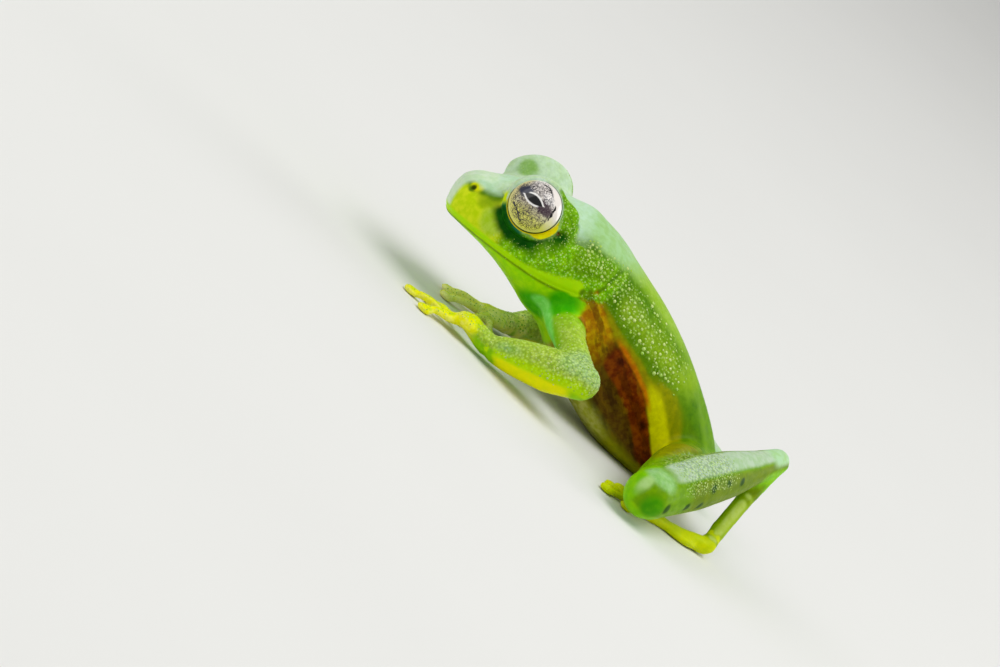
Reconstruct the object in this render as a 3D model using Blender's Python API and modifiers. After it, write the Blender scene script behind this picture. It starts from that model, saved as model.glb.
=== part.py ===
"""A glass frog at life size, sitting low on its hands, feet and belly with its head raised.

The frog is laid out in millimetres on its own map: forward from the rump, left of the midline, and
height above the floor. Each finished node is scaled to metres, and the whole frog is centred over the
origin, facing -Y with +Z up. The skin is melted into one form and parted into nodes by thin cuts.
"""

import math

import bmesh
import bpy
from mathutils import Matrix, Vector

MM = 0.001
GAP = 0.3  # air left between two nodes that meet

# Head: places are ahead of, left of and above the point midway between the eyes
HEAD_PITCH = math.radians(16)
EYES_MIDPOINT = (21.54, 0.0, 8.36)
EYE_RADIUS = 1.75
EYE_SPACING = 6.2
EYE_AXIS = (0.32, 0.86, 0.40)  # ahead, outward, up
EYE_GAP = 0.2
LID_THICKNESS = 0.4
LID_EDGE = 0.95  # how far out along the eye's axis the lids reach
MOUTH_LEVEL = -2.5
MOUTH_CORNER = (-5.1, 4.0, -2.75)
MOUTH_GROOVE = 0.15
NOSTRIL = (3.65, 1.62, -0.72)
NOSTRIL_RADIUS = 0.2
EARDRUM = (-3.5, 4.0, -1.25)
EARDRUM_RADIUS = 0.52
EARDRUM_GROOVE = 0.1

# Trunk stations: top line (forward, height), under line (forward, height), half width
TRUNK = [
    ((1.7, 2.6), (1.65, 1.0), 0.8),
    ((2.3, 3.4), (2.5, 0.35), 1.75),
    ((3.7, 4.7), (4.4, -0.15), 2.5),
    ((5.7, 6.05), (6.9, -0.3), 3.0),
    ((8.3, 7.5), (9.5, -0.05), 3.65),
    ((10.9, 8.6), (12.2, 0.8), 4.0),
    ((13.3, 9.3), (14.6, 1.8), 4.0),
]
TRUNK_WIDEST = 0.46
TRUNK_ROUNDNESS = (2.1, 2.2)
# Head stations: top (ahead, up), underside (ahead, up), half width along the mouth
HEAD = [
    ((-5.6, 0.15), (-3.4, -6.7), 4.1),
    ((-3.6, 0.6), (-2.0, -6.0), 4.3),
    ((-1.8, 0.9), (-0.9, -5.2), 4.4),
    ((0.0, 0.85), (0.4, -4.4), 4.1),
    ((1.6, 0.55), (1.7, -3.8), 3.55),
    ((2.8, 0.2), (2.7, -3.45), 2.95),
    ((3.7, -0.15), (3.5, -3.2), 2.3),
    ((4.3, -0.5), (4.2, -3.0), 1.65),
    ((4.55, -1.1), (4.5, -2.8), 0.9),
]
HEAD_ROUNDNESS = (2.25, 2.0)
NECK_LINE = [(14.3, 12.5), (15.35, 7.2), (18.0, 4.9), (18.6, 1.0)]

# Limb joints on the frog's map, for the left side (1) and for the right (-1), which folds lower
SIDES = {1: "left", -1: "right"}
SHOULDER = {1: (16.1, 2.6, 4.7), -1: (16.1, -2.6, 4.7)}
ELBOW = {1: (13.3, 8.2, 3.3), -1: (12.2, -7.6, 3.0)}
WRIST = {1: (18.2, 6.2, 0.95), -1: (16.6, -4.6, 0.95)}
HIP = {1: (3.9, 1.6, 2.45), -1: (4.3, -1.6, 2.5)}
KNEE = {1: (6.95, 13.9, 1.9), -1: (9.7, -13.6, 2.4)}
HEEL = {1: (0.25, 1.75, 6.4), -1: (0.7, -4.0, 2.65)}
ANKLE = {1: (1.0, 7.0, 0.7), -1: (2.2, -10.4, 0.7)}

UPPER_ARM_RADII = (1.3, 0.95, 1.0)
FOREARM_RADII = (1.15, 1.4, 1.2, 0.75)
THIGH_RADII = (1.8, 1.85, 1.65, 1.4)
THIGH_RISE = 0.3
SHANK_RADII = (1.5, 1.65, 1.45, 1.0, 0.82)
TARSUS_RADII = (0.75, 0.56, 0.56)
WRIST_RADIUS = 0.72

# Where the thin cuts lie: distances along the limb from its joint, and reach of the discs that cut
SHOULDER_CUT = (2.9, 1.9)
ELBOW_CUT = (1.0, 3.1)
HIP_CUT = (3.2, 2.5)
HEEL_CUT = (3.6, 1.3)
KNEE_CUT = (0.45, 7.8)  # the first is a share of the way from the knee to between hip and heel
ANKLE_CUT = 0.45

# Digits: turn from the axis of the hand or foot in degrees (outward is positive), reach, sideways bend
FINGERS = [(-50, 2.4, 0.15), (-20, 2.9, -0.15), (8, 3.9, -0.2), (38, 3.1, 0.2)]
TOES = [(-34, 3.2, -0.2), (-20, 4.2, -0.2), (-7, 5.4, -0.15), (4, 6.4, 0.15), (15, 5.3, 0.25)]
HAND_YAW = {1: -14.0, -1: -42.0}
FOOT_YAW = {1: 30.0, -1: 8.0}
KNUCKLES_AHEAD = 1.9
KNUCKLES_HEIGHT = {1: 1.15, -1: 0.75}
PALM = (1.0, 1.15, 0.5)
SOLE_AHEAD = 2.6
SOLE = (1.7, 0.85, 0.36)
DIGIT_RADIUS = 0.3
FINGER_ARCH = 0.62
TOE_ARCH = 0.3
PAD = (0.58, 0.52, 0.27)  # half length, half width and half height
PAD_SUNK = 0.05
WEB_SHARE = 0.66
WEB_THICKNESS = 0.5

CORE_VOXEL = 0.17
DIGIT_VOXEL = 0.1
CORE_TRIANGLES = 7800
HAND_TRIANGLES = 900
FOOT_TRIANGLES = 1050

SKIN = (0.22, 0.52, 0.08)
EYE = (0.85, 0.78, 0.5)


def on_map(forward, left, height):
    return Vector((left, -forward, height))


def on_head(ahead, left, up):
    """A place on the pitched head, in the same axes as on_map."""
    cos, sin = math.cos(HEAD_PITCH), math.sin(HEAD_PITCH)
    return on_map(*EYES_MIDPOINT) + Vector((left, -cos * ahead - sin * up, cos * up - sin * ahead))


def collection(name):
    """The named collection, made when it isn't there."""
    found = bpy.data.collections.get(name)
    if not found:
        found = bpy.data.collections.new(name)
        bpy.context.scene.collection.children.link(found)
    return found


def keep(obj, name):
    """Moves obj into the named collection alone."""
    for holder in list(obj.users_collection):
        holder.objects.unlink(obj)
    collection(name).objects.link(obj)
    if name == "cutters":
        obj.hide_render = True
        obj.display_type = "WIRE"
    return obj


def from_mesh(name, mesh):
    return keep(bpy.data.objects.new(name, mesh), "glass_frog")


def evaluated(obj):
    """Applies every modifier on obj."""
    graph = bpy.context.evaluated_depsgraph_get()
    mesh = bpy.data.meshes.new_from_object(obj.evaluated_get(graph))
    obj.modifiers.clear()
    obj.data = mesh
    return obj


def curve_mesh(name, curve):
    """A closed mesh object from a bevelled or extruded curve, its caps welded."""
    source = from_mesh(name, curve)
    graph = bpy.context.evaluated_depsgraph_get()
    mesh = bpy.data.meshes.new_from_object(source.evaluated_get(graph))
    bpy.data.objects.remove(source)
    shell = bmesh.new()
    shell.from_mesh(mesh)
    bmesh.ops.remove_doubles(shell, verts=shell.verts, dist=0.001)
    bmesh.ops.recalc_face_normals(shell, faces=shell.faces)
    shell.to_mesh(mesh)
    shell.free()
    return from_mesh(name, mesh)


def rod(name, points, radii, sides=4, steps=6):
    """A round rod of changing radius on a smooth line through the points. sides counts a quarter turn."""
    curve = bpy.data.curves.new(name, "CURVE")
    curve.dimensions = "3D"
    curve.bevel_depth = 1
    curve.bevel_resolution = sides
    curve.resolution_u = steps
    curve.use_fill_caps = True
    spline = curve.splines.new("BEZIER")
    spline.bezier_points.add(len(points) - 1)
    for knot, point, radius in zip(spline.bezier_points, points, radii):
        knot.co = point
        knot.radius = radius
        knot.handle_left_type = "AUTO"
        knot.handle_right_type = "AUTO"
    return curve_mesh(name, curve)


def plate(name, outline, half, place):
    """A flat outline, filled and thickened by half each way, then moved by the matrix place."""
    curve = bpy.data.curves.new(name, "CURVE")
    curve.dimensions = "2D"
    curve.fill_mode = "BOTH"
    curve.extrude = half
    spline = curve.splines.new("POLY")
    spline.points.add(len(outline) - 1)
    for knot, (across, along) in zip(spline.points, outline):
        knot.co = (across, along, 0, 1)
    spline.use_cyclic_u = True
    obj = curve_mesh(name, curve)
    obj.data.transform(place)
    return obj


def ball(name, centre, half_sizes, yaw=0.0, segments=20, rings=12):
    """An ellipsoid, turned about the vertical."""
    bpy.ops.mesh.primitive_uv_sphere_add(segments=segments, ring_count=rings, radius=1)
    obj = keep(bpy.context.object, "glass_frog")
    obj.name = name
    turn = Matrix.Rotation(yaw, 4, "Z")
    obj.data.transform(Matrix.Translation(centre) @ turn @ Matrix.Diagonal((*half_sizes, 1)))
    return obj


def cylinder(name, start, end, radius, sides=32):
    """A straight cutter from start to end."""
    bpy.ops.mesh.primitive_cylinder_add(vertices=sides, radius=radius, depth=(end - start).length)
    obj = keep(bpy.context.object, "glass_frog")
    obj.name = name
    turn = (end - start).to_track_quat("Z", "Y").to_matrix().to_4x4()
    obj.data.transform(Matrix.Translation((start + end) / 2) @ turn)
    return obj


def slab(name, centre, normal, radius):
    """A thin round cutter that parts a limb at a joint."""
    half = normal.normalized() * GAP / 2
    return cylinder(name, centre - half, centre + half, radius)


def limb(name, points, radii):
    """A rod with a ball at each end."""
    ends = [ball(name, points[k], (radii[k],) * 3) for k in (0, -1)]
    return [rod(name, points, radii)] + ends


def power(value, exponent):
    return math.copysign(abs(value) ** exponent, value)


def section(top, under, half_width, widest, roundness, count=36):
    """A closed ring, widest at its own level, with its own roundness above and below that."""
    level = under.lerp(top, widest)
    ring = []
    for i in range(count):
        turn = 2 * math.pi * i / count
        across, rise = math.cos(turn), math.sin(turn)
        exponent = 2 / roundness[0 if rise > 0 else 1]
        reach = (top if rise > 0 else under) - level
        side = Vector((half_width * power(across, exponent), 0, 0))
        ring.append(level + side + reach * abs(rise) ** exponent)
    return ring


def between(a, b, c, d, t):
    """A smooth value between b and c, led by their neighbours."""
    return 0.5 * (2 * b + (c - a) * t + (2 * a - 5 * b + 4 * c - d) * t**2 + (3 * b - a - 3 * c + d) * t**3)


def smooth_run(values, steps):
    """The values with steps - 1 more drawn smoothly between each pair."""
    run = []
    last = len(values) - 1
    for i in range(last):
        a, b, c, d = (values[max(0, min(last, i + k))] for k in (-1, 0, 1, 2))
        run += [between(a, b, c, d, s / steps) for s in range(steps)]
    return run + [values[-1]]


def loft(name, sections, steps=4):
    """A closed solid through the rings, each ring point following its own smooth run."""
    columns = [smooth_run(list(column), steps) for column in zip(*sections)]
    rings = list(zip(*columns))
    count = len(columns)
    shell = bmesh.new()
    rows = [[shell.verts.new(point) for point in ring] for ring in rings]
    for near, far in zip(rows, rows[1:]):
        for i in range(count):
            j = (i + 1) % count
            shell.faces.new((near[i], near[j], far[j], far[i]))
    for row in (rows[0], rows[-1]):
        shell.faces.new(row)
    bmesh.ops.recalc_face_normals(shell, faces=shell.faces)
    mesh = bpy.data.meshes.new(name)
    shell.to_mesh(mesh)
    shell.free()
    return from_mesh(name, mesh)


def joined(name, forms):
    """One object holding the forms' meshes as they lie, with the forms removed."""
    shell = bmesh.new()
    for form in forms:
        shell.from_mesh(form.data)
        bpy.data.objects.remove(form)
    mesh = bpy.data.meshes.new(name)
    shell.to_mesh(mesh)
    shell.free()
    return from_mesh(name, mesh)


def melted(name, forms, voxel, rounds, triangles):
    """The forms as one closed skin, softened where they join, and thinned to a triangle count."""
    obj = joined(name, forms)
    melt = obj.modifiers.new("melt", "REMESH")
    melt.mode = "VOXEL"
    melt.voxel_size = voxel
    soften = obj.modifiers.new("soften", "SMOOTH")
    soften.factor = 0.5
    soften.iterations = rounds
    evaluated(obj)
    faces = sum(len(face.vertices) - 2 for face in obj.data.polygons)
    thin = obj.modifiers.new("thin", "DECIMATE")
    thin.ratio = min(1.0, triangles / faces)
    thin.use_collapse_triangulate = True
    return evaluated(obj)


def cut(obj, cutters):
    """Takes the cutters out of obj one after another, and removes them."""
    for cutter in cutters:
        keep(cutter, "cutters")
        step = obj.modifiers.new("cut", "BOOLEAN")
        step.operation = "DIFFERENCE"
        step.solver = "EXACT"
        step.object = cutter
        evaluated(obj)
        bpy.data.objects.remove(cutter)
    return obj


def loose_parts(obj):
    """The separate closed surfaces of obj as new objects, largest first, and obj removed."""
    shell = bmesh.new()
    shell.from_mesh(obj.data)
    left = set(shell.verts)
    groups = []
    while left:
        group, stack = [], [left.pop()]
        while stack:
            vert = stack.pop()
            group.append(vert)
            for edge in vert.link_edges:
                other = edge.other_vert(vert)
                if other in left:
                    left.discard(other)
                    stack.append(other)
        groups.append(group)
    parts = []
    for group in sorted(groups, key=len, reverse=True):
        piece = bmesh.new()
        copies = {vert: piece.verts.new(vert.co) for vert in group}
        for face in {face for vert in group for face in vert.link_faces}:
            piece.faces.new([copies[vert] for vert in face.verts])
        mesh = bpy.data.meshes.new("piece")
        piece.to_mesh(mesh)
        piece.free()
        parts.append(from_mesh("piece", mesh))
    shell.free()
    bpy.data.objects.remove(obj)
    return parts


def largest(obj):
    """Keeps only the largest closed surface of obj."""
    name = obj.name
    parts = loose_parts(obj)
    for scrap in parts[1:]:
        bpy.data.objects.remove(scrap)
    parts[0].name = name
    return parts[0]


def arm_points(side):
    return (on_map(*joint[side]) for joint in (SHOULDER, ELBOW, WRIST))


def leg_points(side):
    return (on_map(*joint[side]) for joint in (HIP, KNEE, HEEL, ANKLE))


def facing(side, yaw):
    """The level direction of a hand, foot or digit."""
    turn = math.radians(yaw)
    return on_map(math.cos(turn), side * math.sin(turn), 0)


def body_form():
    """Trunk, neck and head as one loft; the head is widest along the mouth."""
    sections = []
    for top, under, width in TRUNK:
        high, low = on_map(top[0], 0, top[1]), on_map(under[0], 0, under[1])
        sections.append(section(high, low, width, TRUNK_WIDEST, TRUNK_ROUNDNESS))
    for top, under, width in HEAD:
        high, low = on_head(top[0], 0, top[1]), on_head(under[0], 0, under[1])
        widest = (MOUTH_LEVEL - under[1]) / (top[1] - under[1])
        sections.append(section(high, low, width, widest, HEAD_ROUNDNESS))
    return loft("body_form", sections)


def eye_centre(side):
    return on_head(0, side * EYE_SPACING / 2, 0)


def eye_axis(side):
    ahead, outward, up = EYE_AXIS
    return (on_head(ahead, side * outward, up) - on_head(0, 0, 0)).normalized()


def eye_mound(side):
    """The swelling of skin round the eye, which the lids are cut from."""
    reach = EYE_RADIUS + EYE_GAP + LID_THICKNESS
    return ball("eye_mound", eye_centre(side), (reach,) * 3, segments=32, rings=20)


def arm_forms(side):
    shoulder, elbow, wrist = arm_points(side)
    beyond = wrist + (wrist - elbow).normalized() * 0.6
    upper = [shoulder, shoulder.lerp(elbow, 0.5), elbow]
    fore = [elbow, elbow.lerp(wrist, 0.35), elbow.lerp(wrist, 0.7), beyond]
    return limb("upper_arm_form", upper, UPPER_ARM_RADII) + limb("forearm_form", fore, FOREARM_RADII)


def leg_forms(side):
    hip, knee, heel, ankle = leg_points(side)
    beyond = ankle + (ankle - heel).normalized() * 0.3
    rise = Vector((0, 0, THIGH_RISE))
    thigh = [hip, hip.lerp(knee, 0.35) + rise, hip.lerp(knee, 0.7) + rise, knee]
    shank = [knee.lerp(heel, share) for share in (0.0, 0.33, 0.6, 0.85, 1.0)]
    tarsus = [heel, heel.lerp(ankle, 0.5), beyond]
    return (
        limb("thigh_form", thigh, THIGH_RADII)
        + limb("shank_form", shank, SHANK_RADII)
        + limb("tarsus_form", tarsus, TARSUS_RADII)
    )


def digit_forms(root, side, yaw, reach, bend, arch, radius):
    """One finger or toe: a slender rod that arches down to the round pad at its tip."""
    way = facing(side, yaw)
    across = way.cross(Vector((0, 0, 1)))
    pad_height = PAD[2] - PAD_SUNK
    points = []
    for share, height in ((0.0, root.z), (0.4, arch), (0.75, arch * 0.85), (0.97, pad_height)):
        point = root + way * reach * share + across * bend * math.sin(math.pi * share)
        point.z = height
        points.append(point)
    tip = root + way * reach
    tip.z = pad_height
    bone = rod("digit_form", points, (radius * 1.15, radius, radius * 0.9, radius * 0.85), sides=2)
    pad = ball("pad_form", tip, PAD, yaw=math.atan2(way.y, way.x), segments=16, rings=10)
    return [bone, pad], tip


def web_form(root, tips):
    """A thin plate that fills the forks between neighbouring toes."""
    outline = [root]
    for i, tip in enumerate(tips):
        outline.append(root.lerp(tip, WEB_SHARE))
        if i + 1 < len(tips):
            outline.append(root.lerp((tip + tips[i + 1]) / 2, WEB_SHARE * 0.78))
    height = Matrix.Translation((0, 0, WEB_THICKNESS / 2))
    return plate("web_form", [(point.x, point.y) for point in outline], WEB_THICKNESS / 2, height)


def hand(side):
    """An arched palm and four fingers with round pads."""
    shoulder, elbow, wrist = arm_points(side)
    back = (elbow - wrist).normalized()
    way = facing(side, HAND_YAW[side])
    knuckles = wrist + way * KNUCKLES_AHEAD
    knuckles.z = KNUCKLES_HEIGHT[side]
    stub = [wrist + back * 0.7, wrist, knuckles]
    forms = limb("stub_form", stub, (WRIST_RADIUS, WRIST_RADIUS, 0.6))
    forms.append(ball("palm_form", knuckles, PALM, yaw=math.atan2(way.y, way.x)))
    for turn, reach, bend in FINGERS:
        yaw = HAND_YAW[side] + turn
        forms += digit_forms(knuckles, side, yaw, reach, bend, FINGER_ARCH, DIGIT_RADIUS)[0]
    obj = melted("hand", forms, DIGIT_VOXEL, 2, HAND_TRIANGLES)
    start = wrist - back * (GAP / 2)
    return cut(obj, [cylinder("wrist_cut", start, start + back * 2.4, 1.6), floor_cutter()])


def foot(side):
    """A sole and five webbed toes with round pads, lying flat under the folded leg."""
    hip, knee, heel, ankle = leg_points(side)
    back = (heel - ankle).normalized()
    way = facing(side, FOOT_YAW[side])
    sole = ankle + way * SOLE_AHEAD
    sole.z = SOLE[2] - PAD_SUNK
    stub = [ankle + back * 0.8, ankle, ankle + way * 1.0 + Vector((0, 0, -0.2)), sole]
    middle = ankle.lerp(sole, 0.8)
    middle.z = sole.z
    forms = limb("stub_form", stub, (0.58, 0.58, 0.5, 0.36))
    forms.append(ball("sole_form", middle, SOLE, yaw=math.atan2(way.y, way.x)))
    tips = []
    for turn, reach, bend in TOES:
        yaw = FOOT_YAW[side] + turn
        bits, tip = digit_forms(sole, side, yaw, reach, bend, TOE_ARCH, DIGIT_RADIUS * 0.95)
        forms += bits
        tips.append(tip)
    forms.append(web_form(sole, tips))
    obj = melted("foot", forms, DIGIT_VOXEL, 2, FOOT_TRIANGLES)
    start = ankle + back * (ANKLE_CUT - GAP / 2)
    return cut(obj, [cylinder("ankle_cut", start, start + back * 2.4, 1.5), floor_cutter()])


def floor_cutter():
    """Everything below the floor, so that what rests there ends in a small flat."""
    bpy.ops.mesh.primitive_cube_add(size=1)
    obj = keep(bpy.context.object, "glass_frog")
    obj.name = "floor_cut"
    obj.data.transform(Matrix.Translation((0, -12, -5)) @ Matrix.Diagonal((60, 60, 10, 1)))
    return obj


def neck_cutter():
    """A thin bent sheet between head and trunk: behind the jaw above, ahead of the shoulder below."""
    front, rear = [], []
    last = len(NECK_LINE) - 1
    for i, (forward, height) in enumerate(NECK_LINE):
        ahead = Vector(NECK_LINE[min(i + 1, last)]) - Vector(NECK_LINE[max(i - 1, 0)])
        normal = Vector((-ahead.y, ahead.x)).normalized() * GAP / 2
        front.append((-forward - normal.x, height + normal.y))
        rear.append((-forward + normal.x, height - normal.y))
    upright = Matrix(((0, 0, 1, 0), (1, 0, 0, 0), (0, 1, 0, 0), (0, 0, 0, 1)))
    return plate("neck_cut", front + rear[::-1], 7, upright)


def limb_cutters(side):
    """The thin cuts at shoulder, elbow, hip, knee fold and heel of one side, and the ends of the limbs."""
    shoulder, elbow, wrist = arm_points(side)
    hip, knee, heel, ankle = leg_points(side)
    arm = (elbow - shoulder).normalized()
    fore = (wrist - elbow).normalized()
    thigh = (knee - hip).normalized()
    back = (heel - ankle).normalized()
    knee_fold = ((heel - knee).normalized() - (hip - knee).normalized()).normalized()
    heel_fold = ((ankle - heel).normalized() - (knee - heel).normalized()).normalized()
    return [
        slab("shoulder_cut", shoulder + arm * SHOULDER_CUT[0], arm, SHOULDER_CUT[1]),
        slab("elbow_cut", elbow + (fore - arm).normalized() * ELBOW_CUT[0], fore + arm, ELBOW_CUT[1]),
        slab("hip_cut", hip + thigh * HIP_CUT[0] - knee_fold * 0.5, thigh, HIP_CUT[1]),
        slab("knee_cut", knee.lerp((hip + heel) / 2, KNEE_CUT[0]) - knee_fold * 0.1, knee_fold, KNEE_CUT[1]),
        slab("heel_cut", heel - back * HEEL_CUT[0] + heel_fold * 0.4, back, HEEL_CUT[1]),
        cylinder("wrist_cut", wrist - fore * (GAP / 2), wrist + fore * 2.4, 1.5),
        cylinder("ankle_cut", ankle + back * (ANKLE_CUT + GAP / 2), ankle - back * 2.4, 1.3),
    ]


def socket_cutters(side):
    """The hollow that the eyeball sits in, open between the lids."""
    centre, axis = eye_centre(side), eye_axis(side)
    reach = EYE_RADIUS + EYE_GAP
    return [
        ball("socket", centre, (reach,) * 3, segments=24, rings=14),
        cylinder("aperture", centre + axis * LID_EDGE, centre + axis * 4, reach * 1.5),
    ]


def mouth_cutter():
    """A fine groove between the lips, from one corner of the mouth round the snout to the other."""
    left = [on_head(*MOUTH_CORNER)]
    for top, under, width in HEAD[:-1]:
        share = (MOUTH_LEVEL - under[1]) / (top[1] - under[1])
        left.append(on_head(under[0] + (top[0] - under[0]) * share, width, MOUTH_LEVEL))
    tip = on_head(HEAD[-1][0][0] + 0.12, 0, MOUTH_LEVEL)
    right = [Vector((-point.x, point.y, point.z)) for point in reversed(left)]
    line = left + [tip] + right
    return rod("mouth_cut", line, [MOUTH_GROOVE] * len(line), sides=1, steps=3)


def face_cutters(side):
    """The nostril, and the ring round the eardrum behind the eye."""
    ahead, out, up = NOSTRIL
    nostril = ball("nostril", on_head(ahead, side * out, up), (NOSTRIL_RADIUS,) * 3, segments=10, rings=8)
    bpy.ops.mesh.primitive_torus_add(
        major_radius=EARDRUM_RADIUS, minor_radius=EARDRUM_GROOVE, major_segments=16, minor_segments=6
    )
    ring = keep(bpy.context.object, "glass_frog")
    ring.name = "eardrum"
    ahead, out, up = EARDRUM
    normal = Vector((side, 0, 0.5)).to_track_quat("Z", "Y").to_matrix().to_4x4()
    ring.data.transform(Matrix.Translation(on_head(ahead, side * out, up)) @ normal)
    return [nostril, ring]


def anchors():
    """A point inside each node of the melted skin."""
    found = {"head": on_head(0, 0, MOUTH_LEVEL), "torso": on_map(10, 0, 4)}
    for side, word in SIDES.items():
        shoulder, elbow, wrist = arm_points(side)
        hip, knee, heel, ankle = leg_points(side)
        fold = ((heel - knee).normalized() - (hip - knee).normalized()).normalized()
        found["upper_arm_" + word] = shoulder.lerp(elbow, 0.72)
        found["forearm_" + word] = elbow.lerp(wrist, 0.5)
        found["thigh_" + word] = hip.lerp(knee, 0.5) - fold * 0.5
        found["shank_" + word] = knee.lerp(heel, 0.5) + fold * 0.5
        found["tarsus_" + word] = heel.lerp(ankle, 0.65)
    return found


def skin_nodes():
    """Head, trunk and limbs as one skin, parted at the joints into named nodes."""
    forms = [body_form()]
    for side in SIDES:
        forms += [eye_mound(side)] + arm_forms(side) + leg_forms(side)
    whole = melted("whole", forms, CORE_VOXEL, 5, CORE_TRIANGLES)
    cut(whole, [neck_cutter()] + limb_cutters(1) + limb_cutters(-1) + [floor_cutter()])
    places = anchors()
    nodes = {}
    for part in loose_parts(whole):
        middle = sum((vert.co for vert in part.data.vertices), Vector()) / len(part.data.vertices)
        name = min(places, key=lambda place: (places[place] - middle).length)
        if name in nodes:
            bpy.data.objects.remove(part)
        else:
            part.name = name
            nodes[name] = part
    return nodes


def dressed(obj, colour, roughness):
    """Gives a node its own material and smooth shading with crisp cuts."""
    material = bpy.data.materials.new(obj.name)
    material.use_nodes = True
    shader = material.node_tree.nodes["Principled BSDF"]
    shader.inputs["Base Color"].default_value = (*colour, 1)
    shader.inputs["Roughness"].default_value = roughness
    shader.inputs["Metallic"].default_value = 0.0
    obj.data.materials.clear()
    obj.data.materials.append(material)
    obj.data.shade_smooth()
    obj.data.set_sharp_from_angle(angle=math.radians(50))


def main():
    for obj in list(bpy.data.objects):
        bpy.data.objects.remove(obj)
    nodes = skin_nodes()
    head_cuts = [mouth_cutter()]
    for side, word in SIDES.items():
        head_cuts += face_cutters(side) + socket_cutters(side)
        eye = ball("eye_" + word, eye_centre(side), (EYE_RADIUS,) * 3, segments=24, rings=14)
        nodes[eye.name] = eye
        for make in (hand, foot):
            part = make(side)
            part.name = make.__name__ + "_" + word
            nodes[part.name] = part
    cut(nodes["head"], head_cuts)
    for name in list(nodes):
        nodes[name] = largest(nodes[name])
    reach = [vert.co for obj in nodes.values() for vert in obj.data.vertices]
    low = [min(point[k] for point in reach) for k in range(3)]
    high = [max(point[k] for point in reach) for k in range(3)]
    centred = Matrix.Translation((-(low[0] + high[0]) / 2, -(low[1] + high[1]) / 2, -low[2]))
    for name, obj in nodes.items():
        obj.data.transform(Matrix.Scale(MM, 4) @ centred)
        middle = sum((vert.co for vert in obj.data.vertices), Vector()) / len(obj.data.vertices)
        obj.data.transform(Matrix.Translation(-middle))
        obj.location = middle
        if name.startswith("eye"):
            dressed(obj, EYE, 0.15)
        else:
            dressed(obj, SKIN, 0.4)


main()
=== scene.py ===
import math
from itertools import product

import bpy
import numpy as np
from mathutils import Matrix, Vector
from mathutils.bvhtree import BVHTree
from mathutils.kdtree import KDTree


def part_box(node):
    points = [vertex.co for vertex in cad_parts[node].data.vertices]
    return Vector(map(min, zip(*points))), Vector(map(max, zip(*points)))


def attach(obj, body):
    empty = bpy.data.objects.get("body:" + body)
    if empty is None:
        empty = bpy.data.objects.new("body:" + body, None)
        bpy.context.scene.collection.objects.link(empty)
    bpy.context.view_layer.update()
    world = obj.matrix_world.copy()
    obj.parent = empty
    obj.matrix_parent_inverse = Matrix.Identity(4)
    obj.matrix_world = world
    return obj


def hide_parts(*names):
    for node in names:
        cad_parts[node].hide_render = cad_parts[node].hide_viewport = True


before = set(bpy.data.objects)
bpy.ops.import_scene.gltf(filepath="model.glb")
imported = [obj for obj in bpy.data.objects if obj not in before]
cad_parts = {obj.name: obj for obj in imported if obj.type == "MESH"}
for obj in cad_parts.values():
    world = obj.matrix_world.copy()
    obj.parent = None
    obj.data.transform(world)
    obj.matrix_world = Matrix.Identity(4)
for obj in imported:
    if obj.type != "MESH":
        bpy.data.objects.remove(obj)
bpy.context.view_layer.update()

mm = 0.001
sides = {"left": 1, "right": -1}

# The frog's own map, in millimetres: forward from the rump, left of the midline, up from the floor
frogMap = {
    "eyesForward": 21.54,
    "eyesHeight": 8.36,
    "headPitch": 16,
    "lidAxis": (0.1375, 0.929, 0.344),
    "socketRadius": 2.02,
    "mouthCorner": -4.5,
    "nostril": (3.65, 1.62, -0.72),
    "snoutCorner": (3.7, 0.8, 0.0),
    "snoutTip": (4.45, 0.3, -1.9),
    "eardrum": (-3.5, 4.0, -1.25),
    "nape": (-3.5, 0.3, 0.7),
}
limbJoints = {
    "shoulder": {1: (16.1, 2.6, 4.7), -1: (16.1, -2.6, 4.7)},
    "elbow": {1: (13.3, 8.2, 3.3), -1: (12.2, -7.6, 3.0)},
    "wrist": {1: (18.2, 6.2, 0.95), -1: (16.6, -4.6, 0.95)},
    "knee": {1: (6.95, 13.9, 1.9), -1: (9.7, -13.6, 2.4)},
    "heel": {1: (0.25, 1.75, 6.4), -1: (0.7, -4.0, 2.65)},
}


def middleOf(node):
    low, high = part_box(node)
    return (low + high) / 2


eyesMiddle = (middleOf("eye_left") + middleOf("eye_right")) / 2
mapOrigin = eyesMiddle - Vector((0, -frogMap["eyesForward"], frogMap["eyesHeight"])) * mm
pitchCos = math.cos(math.radians(frogMap["headPitch"]))
pitchSin = math.sin(math.radians(frogMap["headPitch"]))


def onMap(forward, left, height):
    # in millimetres from the map's origin
    return Vector((left, -forward, height))


def headWay(ahead, left, up):
    return Vector((left, -pitchCos * ahead - pitchSin * up, pitchCos * up - pitchSin * ahead))


def onHead(ahead, left, up):
    return onMap(frogMap["eyesForward"], 0, frogMap["eyesHeight"]) + headWay(ahead, left, up)


def headPlaces(points):
    # rows of (ahead, left, up) for rows of map points
    rest = points - np.array(onHead(0, 0, 0))
    forward = -rest[:, 1]
    ahead = pitchCos * forward - pitchSin * rest[:, 2]
    up = pitchSin * forward + pitchCos * rest[:, 2]
    return np.stack([ahead, rest[:, 0], up], axis=1)


def lidFrame(side):
    # the eye's centre, its axis, and the ways to the front and to the top of its opening
    ahead, outward, up = frogMap["lidAxis"]
    centre = (middleOf("eye_left" if side > 0 else "eye_right") - mapOrigin) / mm
    axis = headWay(ahead, side * outward, up).normalized()
    front = headWay(1, 0, 0)
    front = (front - axis * front.dot(axis)).normalized()
    top = axis.cross(front) * side
    if top.z < 0:
        top = -top
    return centre, axis, front, top


# Helpers for meshes


def clearSelection():
    bpy.ops.object.select_all(action="DESELECT")


def activate(obj):
    clearSelection()
    obj.select_set(True)
    bpy.context.view_layer.objects.active = obj


def apply(obj, kind, **settings):
    # adds a modifier with its settings and applies it, as by hand
    activate(obj)
    modifier = obj.modifiers.new(kind.lower(), kind)
    for name, value in settings.items():
        setattr(modifier, name, value)
    bpy.ops.object.modifier_apply(modifier=modifier.name)
    return obj


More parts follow.
